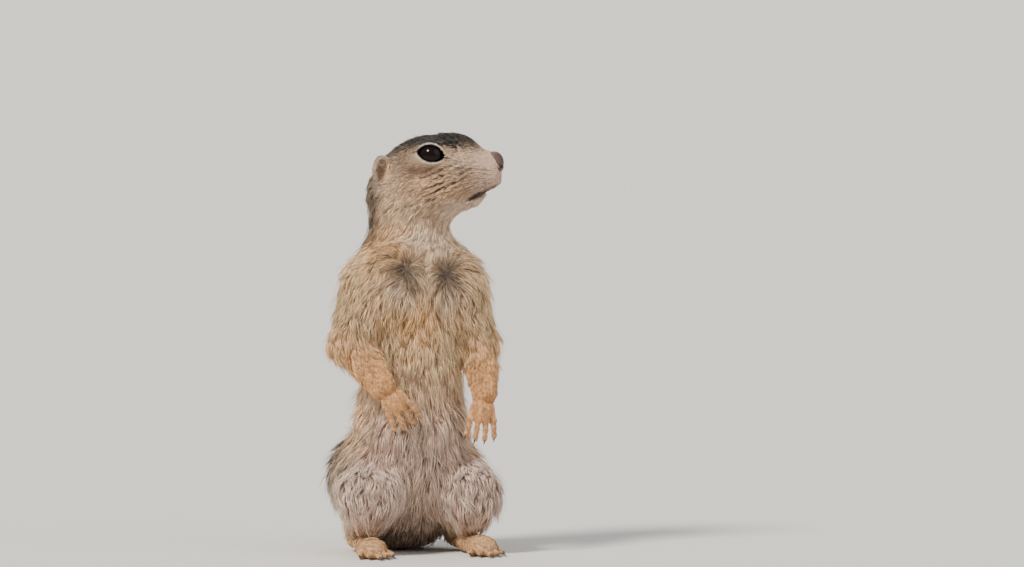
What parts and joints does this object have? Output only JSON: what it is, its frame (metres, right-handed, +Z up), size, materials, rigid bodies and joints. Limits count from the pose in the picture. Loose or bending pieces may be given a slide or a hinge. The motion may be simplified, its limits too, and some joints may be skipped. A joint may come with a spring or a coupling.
{
  "type": "ground squirrel",
  "caption": "Life-size still model of a young ground squirrel sitting up on its haunches, head turned to its left, arms hanging before its belly.",
  "frame": {"origin": "the middle of the flat under the rump, at the level that the animal rests on", "axes": "+Z up, the animal's own left is +X, and its belly faces -Y"},
  "size_m": [0.0661, 0.1292, 0.1521],
  "materials": {
    "grizzled_coat": "short grizzled fur, matte",
    "buff_coat": "fine buff fur, matte",
    "orange_coat": "short orange-buff fur, matte",
    "pale_coat": "long pale fur, matte",
    "nose_skin": "bare damp skin",
    "eye_gloss": "wet gloss",
    "claw_horn": "smooth dark horn"
  },
  "bodies": {
    "root": {"head": "grizzled_coat", "lower_jaw": "pale_coat", "nose": "nose_skin", "neck": "buff_coat", "chest": "buff_coat", "belly": "pale_coat", "hips": "grizzled_coat", "tail_base": "grizzled_coat", "tail_tip": "grizzled_coat", "ear_left": "buff_coat", "eye_left": "eye_gloss", "upper_arm_left": "grizzled_coat", "forearm_left": "orange_coat", "hand_left": "orange_coat", "thigh_left": "grizzled_coat", "shank_left": "buff_coat", "foot_left": "pale_coat", "ear_right": "buff_coat", "eye_right": "eye_gloss", "upper_arm_right": "grizzled_coat", "forearm_right": "orange_coat", "hand_right": "orange_coat", "thigh_right": "grizzled_coat", "shank_right": "buff_coat", "foot_right": "pale_coat", "claw_hand_left_1": "claw_horn", "claw_hand_left_2": "claw_horn", "claw_hand_left_3": "claw_horn", "claw_hand_left_4": "claw_horn", "claw_foot_left_1": "claw_horn", "claw_foot_left_2": "claw_horn", "claw_foot_left_3": "claw_horn", "claw_foot_left_4": "claw_horn", "claw_foot_left_5": "claw_horn", "claw_hand_right_1": "claw_horn", "claw_hand_right_2": "claw_horn", "claw_hand_right_3": "claw_horn", "claw_hand_right_4": "claw_horn", "claw_foot_right_1": "claw_horn", "claw_foot_right_2": "claw_horn", "claw_foot_right_3": "claw_horn", "claw_foot_right_4": "claw_horn", "claw_foot_right_5": "claw_horn"}
  },
  "joints": []
}
